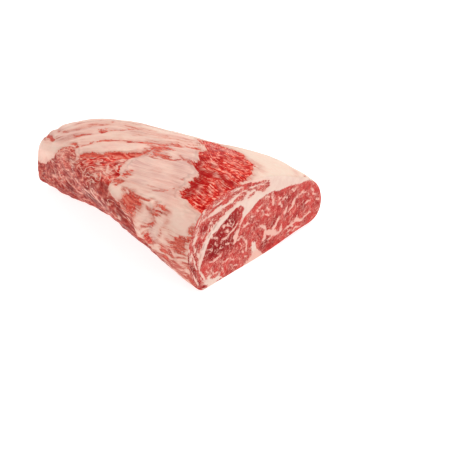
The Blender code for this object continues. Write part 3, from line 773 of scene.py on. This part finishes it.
# On the rolls the veil is painted shade: greyish-lilac bands along the rolls.
rolls = np.clip((ss - 96) / 10, 0, 1) * np.clip((50 - sx) / 30, 0, 1)
veil_and_painted_shade = np.maximum(veil_and_painted_shade, rolls * (0.35 + 0.45 * table_noise(px / 22, (ps - 0.7 * px) / 9, 68)))
veil_and_painted_shade = veil_and_painted_shade * (1 - 0.5 * np.clip((ss - 175) / 20, 0, 1))
# Creamier fat on the right cap is the fat's own colour. On the far top the same cream is painted light, for the top
# that faces the lamp.
right_cap = np.clip((sx - 20) / 50, 0, 1) * np.clip((ss - 195) / 25, 0, 1)
far_top_painted_light = np.clip((ss - 160) / 40, 0, 1) * np.clip((0 - sx) / 40, 0, 1)
far_lobe = np.exp(-(((sx + 122) / 26) ** 2 + ((ss - 80) / 15) ** 2))
rosy = 0.9 * far_lobe
cream_and_painted_light = 0.3 + 0.8 * np.maximum(right_cap, far_top_painted_light) + 0.5 * table_noise(px / 17, ps / 11, 69)
cream_and_painted_light = np.clip(cream_and_painted_light, 0, 1)
rolls_grain = (sx + ss, ss - 0.75 * np.clip(sx, -200, 20) - 0.1 * np.clip(sx - 20, 0, 200))
outer_grain = np.where(
    strip > -5,
    np.stack([1.9 * (sx - ss), 1.6 * strip_across]),
    np.where(
        (side > -6) | (side_s < 100),
        np.stack([1.6 * (sx + side_s), 0.8 * side_across]),
        np.stack(rolls_grain),
    ),
)
outer_grain = np.where(under > 0.5, np.stack([uy, sx]), outer_grain)
skin_look = {
    "meat": (np.clip(outer_lean, -4, 4), outer_stir, pale),
    "tone": (outer_dark, brown, veil_and_painted_shade),
    "grain": (outer_grain[0], outer_grain[1], 5.0 + 0 * sx),
    "fat": (cream_and_painted_light, rosy, hollow_shade_and_meat_tint),
    "web": (web * (1 - under), soft_patch, 0 * web),
}

# The fine relief: fibres stand up on the bare muscle, fat stands a little above the meat,
# and the trimmed near side is lumpy.
fine = np.zeros(count)
fibres = table_noise(strip_across / 3.0, (sx - ss) / 16, 41)
outside_fine = np.clip(strip, 0, 2) / 2 * (0.3 * fibres - 0.3)
outside_fine += -0.5 * np.clip(outer_lean / 1.5, -1, 1) * (1 - under)
lumpy = 0.9 * table_noise(side_across / 8, (sx + side_s) / 20, 42)
lumpy = lumpy + 0.5 * table_noise(px / 5, ps / 5, 46) - 0.5 * np.clip(outer_dark, 0, 1)
outside_fine += np.clip(side / 5, 0, 1) * lumpy
outside_fine += 0.4 * table_noise(sx / 9, ss / 9, 43)
for half, depth, line in FOLDS:
    gap = gap_to_line(px, ps, line)
    outside_fine += depth * (0.4 * np.exp(-(((gap - 1.8 * half) / half) ** 2)) - np.exp(-((gap / half) ** 2)))
outside_fine *= np.clip((LENGTH / 2 - np.abs(sx)) / 2.5, 0, 1)
outside_fine *= 1 - 0.8 * under
fine[~in_cut] = outside_fine
cut_fine = 0.22 * np.clip(-lean / 0.6, -1, 1) + 0.25 * table_noise(cy / 9, cz / 9, 44)
cut_fine += 0.12 * table_noise(cy / 2.5, cz / 2.5, 45)
cut_fine = cut_fine * np.clip(rim_gap / 1.5, 0, 1) - 0.55 * np.clip(1 - rim_gap / 1.4, 0, 1) ** 2
fine[on_cut] = cut_fine

roast_mesh.vertices.foreach_set("co", (place / 1000).astype(np.float32).ravel())
roast_mesh.update()
normals = np.empty(count * 3, dtype=np.float32)
roast_mesh.vertices.foreach_get("normal", normals)
normals = normals.reshape(-1, 3).astype(float)
rim_points = on_cut & ~in_cut
normals[in_cut] = np.stack([np.sign(box[in_cut, 0]), 0 * cy[: in_cut.sum()], 0 * cy[: in_cut.sum()]], 1)
place = place + normals * fine[:, None]
place[:, 2] = np.maximum(place[:, 2], 0.0)
roast_mesh.vertices.foreach_set("co", (place / 1000).astype(np.float32).ravel())
roast_mesh.update()
roast_mesh.shade_smooth()

loops = np.empty(len(roast_mesh.loops), dtype=np.int32)
roast_mesh.loops.foreach_get("vertex_index", loops)
starts = np.empty(len(roast_mesh.polygons), dtype=np.int32)
totals = np.empty(len(roast_mesh.polygons), dtype=np.int32)
roast_mesh.polygons.foreach_get("loop_start", starts)
roast_mesh.polygons.foreach_get("loop_total", totals)
corner_is_cut = np.logical_and.reduceat(on_cut[loops], starts)
# A face lies on a cut where all its corners do.
face_is_cut = corner_is_cut
roast_mesh.polygons.foreach_set("material_index", np.where(face_is_cut, 1, 0).astype(np.int32))
loop_is_cut = np.repeat(face_is_cut, totals)
cut_row = np.cumsum(on_cut) - 1
skin_row = np.cumsum(~in_cut) - 1
for name in ("meat", "tone", "grain", "fat", "web"):
    cut_values = np.stack([np.broadcast_to(c, len(cy)) for c in cut_look[name]], axis=1)
    skin_values = np.stack([np.broadcast_to(c, len(sx)) for c in skin_look[name]], axis=1)
    values = np.where(
        loop_is_cut[:, None],
        cut_values[np.clip(cut_row[loops], 0, len(cy) - 1)],
        skin_values[np.clip(skin_row[loops], 0, len(sx) - 1)],
    )
    layer = roast_mesh.attributes.new(name, "FLOAT_VECTOR", "CORNER")
    layer.data.foreach_set("vector", values.astype(np.float32).ravel())


def tint(red, green, blue):
    """A colour named by its screen values, as the shader wants it."""
    return tuple(((c / 255 + 0.055) / 1.055) ** 2.4 for c in (red, green, blue)) + (1.0,)


class Bench:
    """A node tree being laid out, with one short call for each kind of node."""

    def __init__(self, tree):
        self.tree = tree

    def add(self, kind, inputs=(), **settings):
        made = self.tree.nodes.new(kind)
        for key, value in settings.items():
            setattr(made, key, value)
        for key, value in dict(inputs).items():
            self.feed(made.inputs[key], value)
        return made

    def feed(self, socket, value):
        if isinstance(value, bpy.types.NodeSocket):
            self.tree.links.new(value, socket)
        else:
            socket.default_value = value

    def sum(self, how, a, b=0.0, c=0.0, clamp=False):
        return self.add(
            "ShaderNodeMath", {0: a, 1: b, 2: c}, operation=how, use_clamp=clamp
        ).outputs[0]

    def ease(self, value, low, high, to_low=0.0, to_high=1.0):
        return self.add(
            "ShaderNodeMapRange",
            {"Value": value, "From Min": low, "From Max": high, "To Min": to_low, "To Max": to_high},
            interpolation_type="SMOOTHSTEP",
        ).outputs[0]

    def blend(self, share, a, b, how="MIX"):
        return self.add(
            "ShaderNodeMix",
            {0: share, 6: a, 7: b},
            data_type="RGBA",
            blend_type=how,
            clamp_factor=True,
        ).outputs[2]

    def parts(self, name):
        read = self.add("ShaderNodeAttribute", attribute_name=name)
        return self.add("ShaderNodeSeparateXYZ", {0: read.outputs["Vector"]}).outputs, read

    def noise(self, where, scale, detail=2.0, rough=0.5, bend=0.0):
        return self.add(
            "ShaderNodeTexNoise",
            {"Vector": where, "Scale": scale, "Detail": detail, "Roughness": rough, "Distortion": bend},
        ).outputs["Fac"]

    def stretch(self, where, size):
        return self.add(
            "ShaderNodeVectorMath", {0: where, 1: size}, operation="MULTIPLY"
        ).outputs[0]


def group(name, sockets_in, sockets_out):
    tree = bpy.data.node_groups.new(name, "ShaderNodeTree")
    for label, kind in sockets_in:
        tree.interface.new_socket(label, in_out="INPUT", socket_type=kind)
    for label, kind in sockets_out:
        tree.interface.new_socket(label, in_out="OUTPUT", socket_type=kind)
    bench = Bench(tree)
    return tree, bench, bench.add("NodeGroupInput").outputs, bench.add("NodeGroupOutput").inputs


# Meat against fat: the drawn border, roughened along the grain and by a finer crumble.
meat_and_fat, bench, given, result = group(
    "meat_and_fat",
    [("Grain", "NodeSocketVector"), ("Place", "NodeSocketVector"), ("Lean", "NodeSocketFloat"),
     ("Stir", "NodeSocketFloat"), ("Grain Width", "NodeSocketFloat"), ("Edge", "NodeSocketFloat")],
    [("Lean", "NodeSocketFloat"), ("Streak", "NodeSocketFloat"), ("Fine", "NodeSocketFloat")],
)
along_grain = bench.stretch(given["Grain"], (0.045, 1.0, 1.0))
across = bench.add(
    "ShaderNodeVectorMath", {0: along_grain, 3: given["Grain Width"]}, operation="SCALE"
).outputs[0]
streak = bench.ease(bench.noise(across, 1.0, 3.0, 0.6), 0.28, 0.72, -1.0, 1.0)
bench.feed(result["Streak"], streak)
ragged = bench.ease(bench.noise(given["Place"], 0.45, 4.0, 0.65), 0.25, 0.75, -1.0, 1.0)
bench.feed(result["Fine"], ragged)
border = bench.sum(
    "ADD", bench.sum("MULTIPLY_ADD", streak, given["Stir"], given["Lean"]), ragged
)
bench.feed(
    result["Lean"],
    bench.ease(border, bench.sum("MULTIPLY", given["Edge"], -1.0), given["Edge"]),
)

# The freshly cut meat: wet red lean shot through with marbling, and firm pale fat.
cut_meat = bpy.data.materials.new("cut_meat")
cut_meat.use_nodes = True
bench = Bench(cut_meat.node_tree)
shader = cut_meat.node_tree.nodes["Principled BSDF"]
where = bench.add("ShaderNodeTexCoord").outputs["Object"]
place_mm = bench.stretch(where, (1000.0, 1000.0, 1000.0))
meat, _ = bench.parts("meat")
tone, _ = bench.parts("tone")
fat_kind, _ = bench.parts("fat")
grain = bench.add("ShaderNodeAttribute", attribute_name="grain").outputs["Vector"]
mixed = bench.add("ShaderNodeGroup", {}, node_tree=meat_and_fat)
for socket, value in (
    ("Grain", grain), ("Place", place_mm), ("Lean", meat[0]), ("Stir", meat[1]),
    ("Grain Width", 0.55), ("Edge", 0.75),
):
    bench.feed(mixed.inputs[socket], value)
lean_share, streak, ragged = mixed.outputs[:3]
# Marbling: slanting flecks and crooked threads of fat, gathered by a slower pattern.
bend = bench.add("ShaderNodeTexNoise", {"Vector": place_mm, "Scale": 0.16, "Detail": 3.0})
crooked = bench.add(
    "ShaderNodeVectorMath",
    {0: place_mm, 1: bench.stretch(bend.outputs["Color"], (10.0, 10.0, 10.0))},
    operation="ADD",
).outputs[0]
slanting = bench.add(
    "ShaderNodeMapping", {"Vector": crooked, "Rotation": (-1.0, 0.0, 0.0), "Scale": (1.0, 1.0, 1.0)}
).outputs[0]
slanting = bench.stretch(slanting, (0.5, 0.45, 1.0))
gather = bench.ease(bench.noise(place_mm, 0.10, 2.0, 0.5), 0.34, 0.64, -1.0, 1.0)
wanted = bench.sum("MULTIPLY_ADD", gather, 0.25, meat[2])
island = bench.noise(slanting, 0.58, 4.0, 0.68)
level = bench.sum("MULTIPLY_ADD", wanted, -0.16, 0.665)
flecks = bench.ease(bench.sum("SUBTRACT", island, level), -0.05, 0.06)
thread = bench.sum("ABSOLUTE", bench.sum("SUBTRACT", bench.noise(slanting, 0.30, 3.0, 0.62), 0.5))
broken = bench.ease(bench.noise(place_mm, 0.22, 2.0, 0.5), 0.44, 0.60)
threads = bench.ease(thread, 0.0, 0.028, 0.9, 0.0)
threads = bench.sum("MULTIPLY", threads, bench.sum("MULTIPLY", broken, bench.ease(wanted, 0.1, 0.7)))
grainy = bench.noise(slanting, 1.15, 3.0, 0.6)
clear = bench.ease(tone[0], 0.0, 0.8, 1.0, 0.15)
dots = bench.sum(
    "MULTIPLY", bench.ease(grainy, 0.52, 0.66, 0.0, 0.75), bench.sum("MULTIPLY", clear, bench.ease(wanted, 0.0, 0.7))
)
broken_bits = bench.ease(bench.noise(crooked, 0.34, 1.0, 0.4), 0.61, 0.69, 0.0, 0.8)
broken_bits = bench.sum("MULTIPLY", broken_bits, bench.sum("SUBTRACT", 1.0, clear))
threads = bench.sum("MULTIPLY", threads, bench.ease(clear, 0.0, 1.0, 0.25, 1.0))
flecks = bench.sum("MAXIMUM", flecks, broken_bits)
fleck_share = bench.sum("MAXIMUM", bench.sum("MAXIMUM", flecks, threads), dots, clamp=True)
broad = bench.noise(place_mm, 0.11, 3.0, 0.6)
middling = bench.noise(slanting, 0.16, 4.0, 0.6)
pits = bench.noise(place_mm, 0.9, 3.0, 0.6)
red = bench.blend(bench.ease(middling, 0.36, 0.64), tint(168, 10, 20), tint(208, 54, 50))
red = bench.blend(bench.ease(broad, 0.45, 0.75, 0.0, 0.5), red, tint(224, 98, 90))
red = bench.blend(bench.sum("MULTIPLY", clear, bench.ease(pits, 0.42, 0.70, 0.0, 0.5)), red, tint(232, 118, 106))
red = bench.blend(bench.sum("MULTIPLY", tone[0], 0.85, clamp=True), red, tint(140, 6, 14))
fat = bench.blend(bench.ease(broad, 0.3, 0.7), tint(246, 216, 201), tint(238, 200, 186))
fat = bench.blend(bench.ease(pits, 0.3, 0.7, 0.0, 0.4), fat, tint(250, 226, 210))
fat = bench.blend(bench.sum("MULTIPLY", fat_kind[1], 0.85, clamp=True), fat, tint(244, 186, 170))
fat = bench.blend(bench.sum("MULTIPLY", tone[2], 0.8, clamp=True), fat, tint(176, 122, 104))
speck = bench.sum("MULTIPLY", fleck_share, 0.75)
red = bench.blend(speck, red, tint(243, 182, 164))
colour = bench.blend(lean_share, fat, red)
bench.feed(shader.inputs["Base Color"], colour)
bench.feed(shader.inputs["Roughness"], bench.ease(pits, 0.3, 0.7, 0.36, 0.5))
shader.inputs["Specular IOR Level"].default_value = 0.05
shader.inputs["Subsurface Weight"].default_value = 0.05
shader.inputs["Subsurface Radius"].default_value = (1.0, 0.35, 0.25)
shader.inputs["Subsurface Scale"].default_value = 0.0015
height = bench.sum("MULTIPLY_ADD", lean_share, -0.35, bench.sum("MULTIPLY", pits, 0.5))
height = bench.sum("MULTIPLY_ADD", fleck_share, 0.25, height)
bench.feed(
    shader.inputs["Normal"],
    bench.add("ShaderNodeBump", {"Strength": 0.5, "Distance": 0.0006, "Height": height}).outputs[0],
)

# The outside: soft fat and thin skin, bare wet muscle, and the dry brownish near side.
skin = bpy.data.materials.new("outside")
skin.use_nodes = True
bench = Bench(skin.node_tree)
shader = skin.node_tree.nodes["Principled BSDF"]
where = bench.add("ShaderNodeTexCoord").outputs["Object"]
place_mm = bench.stretch(where, (1000.0, 1000.0, 1000.0))
meat, _ = bench.parts("meat")
tone, _ = bench.parts("tone")
fat_kind, _ = bench.parts("fat")
grain = bench.add("ShaderNodeAttribute", attribute_name="grain").outputs["Vector"]
mixed = bench.add("ShaderNodeGroup", {}, node_tree=meat_and_fat)
for socket, value in (
    ("Grain", grain), ("Place", place_mm), ("Lean", meat[0]), ("Stir", meat[1]),
    ("Grain Width", 0.6), ("Edge", 0.55),
):
    bench.feed(mixed.inputs[socket], value)
lean_share, streak, ragged = mixed.outputs[:3]
web, _ = bench.parts("web")
mottle = bench.noise(place_mm, 0.22, 3.0, 0.6)
crumble = bench.noise(place_mm, 0.6, 4.0, 0.65)
tuned = bench.sum(
    "MULTIPLY_ADD", bench.ease(crumble, 0.3, 0.7), 0.30, bench.ease(streak, -1.0, 1.0, 0.02, 0.70)
)
tuned = bench.sum("MULTIPLY_ADD", bench.ease(mottle, 0.3, 0.7, -0.5, 0.5), 0.6, tuned)


def ramp(bench, share, *stops):
    """Tints set along a ramp, as place and tint."""
    made = bench.add("ShaderNodeValToRGB", {0: share})
    for element, (place, colour) in zip(made.color_ramp.elements, stops):
        element.position = place
        element.color = colour
    for place, colour in stops[2:]:
        made.color_ramp.elements.new(place).color = colour
    return made.outputs[0]


bare = ramp(
    bench, tuned, (0.20, tint(172, 4, 10)), (0.45, tint(212, 36, 28)), (0.72, tint(232, 82, 62)),
    (0.92, tint(246, 176, 154)),
)
bare = bench.blend(bench.sum("MULTIPLY", tone[0], 0.8, clamp=True), bare, tint(150, 2, 8))
bands = bench.noise(bench.stretch(grain, (0.045, 0.30, 1.0)), 1.0, 2.0, 0.5)
muted = bench.sum("ADD", bench.ease(bands, 0.3, 0.7, -0.26, 0.26), bench.ease(mottle, 0.3, 0.7, 0.2, 0.72))
muted = bench.sum("MULTIPLY_ADD", streak, 0.13, muted)
brown = ramp(
    bench, muted, (0.10, tint(148, 34, 30)), (0.42, tint(186, 68, 56)), (0.68, tint(212, 106, 90)),
    (0.92, tint(232, 168, 148)),
)
brown = bench.blend(bench.sum("MULTIPLY", tone[0], 0.8, clamp=True), brown, tint(122, 28, 26))
flesh = bench.blend(bench.sum("MULTIPLY", tone[1], 1.0, clamp=True), bare, brown)
paled = bench.sum("MULTIPLY", meat[2], bench.ease(tuned, 0.2, 0.8, 0.4, 1.0), clamp=True)
flesh = bench.blend(paled, flesh, tint(240, 180, 160))
flesh = bench.blend(
    bench.sum("MULTIPLY", web[1], bench.ease(streak, -0.7, 0.7, 0.4, 1.5), clamp=True), flesh, tint(222, 112, 92)
)
# Thin pale membranes run over the trimmed side in a crooked net.
swirl = bench.add("ShaderNodeTexNoise", {"Vector": place_mm, "Scale": 0.07, "Detail": 1.0})
swirled = bench.add(
    "ShaderNodeVectorMath",
    {0: grain, 1: bench.stretch(swirl.outputs["Color"], (26.0, 11.0, 0.0))},
    operation="ADD",
).outputs[0]
strand = bench.noise(bench.stretch(swirled, (0.03, 0.12, 1.0)), 1.0, 1.5, 0.5)
strand = bench.sum("ABSOLUTE", bench.sum("SUBTRACT", strand, 0.5))
strand = bench.ease(strand, 0.004, 0.034, 1.2, 0.0)
strand = bench.sum("MULTIPLY", strand, bench.ease(bench.noise(place_mm, 0.07, 2.0), 0.38, 0.55))
strand = bench.sum("MULTIPLY", strand, web[0], clamp=True)
flesh = bench.blend(strand, flesh, tint(236, 182, 164))
# The cream share: the right cap's own creamier fat, and painted light on the far top.
fat = bench.blend(fat_kind[0], tint(244, 203, 186), tint(237, 210, 191))
fat = bench.blend(bench.ease(mottle, 0.4, 0.7, 0.0, 0.35), fat, tint(240, 192, 176))
fat = bench.blend(bench.sum("MULTIPLY", fat_kind[1], 0.8, clamp=True), fat, tint(255, 205, 188))
# The veil greys the fat: a thin membrane on the centre fat, and painted shade on the rolls and in the fold.
soft = bench.sum("MULTIPLY", tone[2], bench.ease(streak, -1.0, 1.0, 0.35, 1.0))
fat = bench.blend(bench.sum("MULTIPLY", soft, 0.9, clamp=True), fat, tint(211, 161, 150))
drawn_out = bench.noise(bench.stretch(grain, (0.02, 0.42, 1.0)), 1.0, 3.0, 0.55)
# The wash turns the fat dull pink and then red: painted shade in the hollows, and meat showing through thin fat.
hollow_shade_and_meat_share = bench.sum("MULTIPLY", fat_kind[2], bench.ease(drawn_out, 0.34, 0.66, 0.35, 1.5))
hollow_shade_and_meat_share = bench.sum("MULTIPLY", hollow_shade_and_meat_share, bench.ease(crumble, 0.3, 0.7, 1.15, 0.75))
dull = bench.blend(tone[2], tint(216, 138, 120), tint(205, 156, 144))
fat = bench.blend(bench.sum("MULTIPLY", hollow_shade_and_meat_share, 1.0, clamp=True), fat, dull)
fat = bench.blend(bench.ease(hollow_shade_and_meat_share, 0.55, 1.4, 0.0, 0.85), fat, tint(190, 80, 68))
colour = bench.blend(lean_share, fat, flesh)
bench.feed(shader.inputs["Base Color"], colour)
bench.feed(shader.inputs["Roughness"], bench.ease(mottle, 0.3, 0.7, 0.40, 0.55))
shader.inputs["Specular IOR Level"].default_value = 0.05
shader.inputs["Subsurface Weight"].default_value = 0.06
shader.inputs["Subsurface Radius"].default_value = (1.0, 0.35, 0.25)
shader.inputs["Subsurface Scale"].default_value = 0.002
height = bench.sum("MULTIPLY_ADD", streak, 0.3, bench.sum("MULTIPLY", crumble, 0.35))
height = bench.sum("MULTIPLY_ADD", lean_share, -0.6, height)
height = bench.sum("MULTIPLY_ADD", strand, 0.3, height)
bench.feed(
    shader.inputs["Normal"],
    bench.add("ShaderNodeBump", {"Strength": 0.6, "Distance": 0.0008, "Height": height}).outputs[0],
)

roast = bpy.data.objects.new("roast", roast_mesh)
roast_mesh.materials.append(skin)
roast_mesh.materials.append(cut_meat)
bpy.context.scene.collection.objects.link(roast)
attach(roast, "root")
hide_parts("rib_roast")
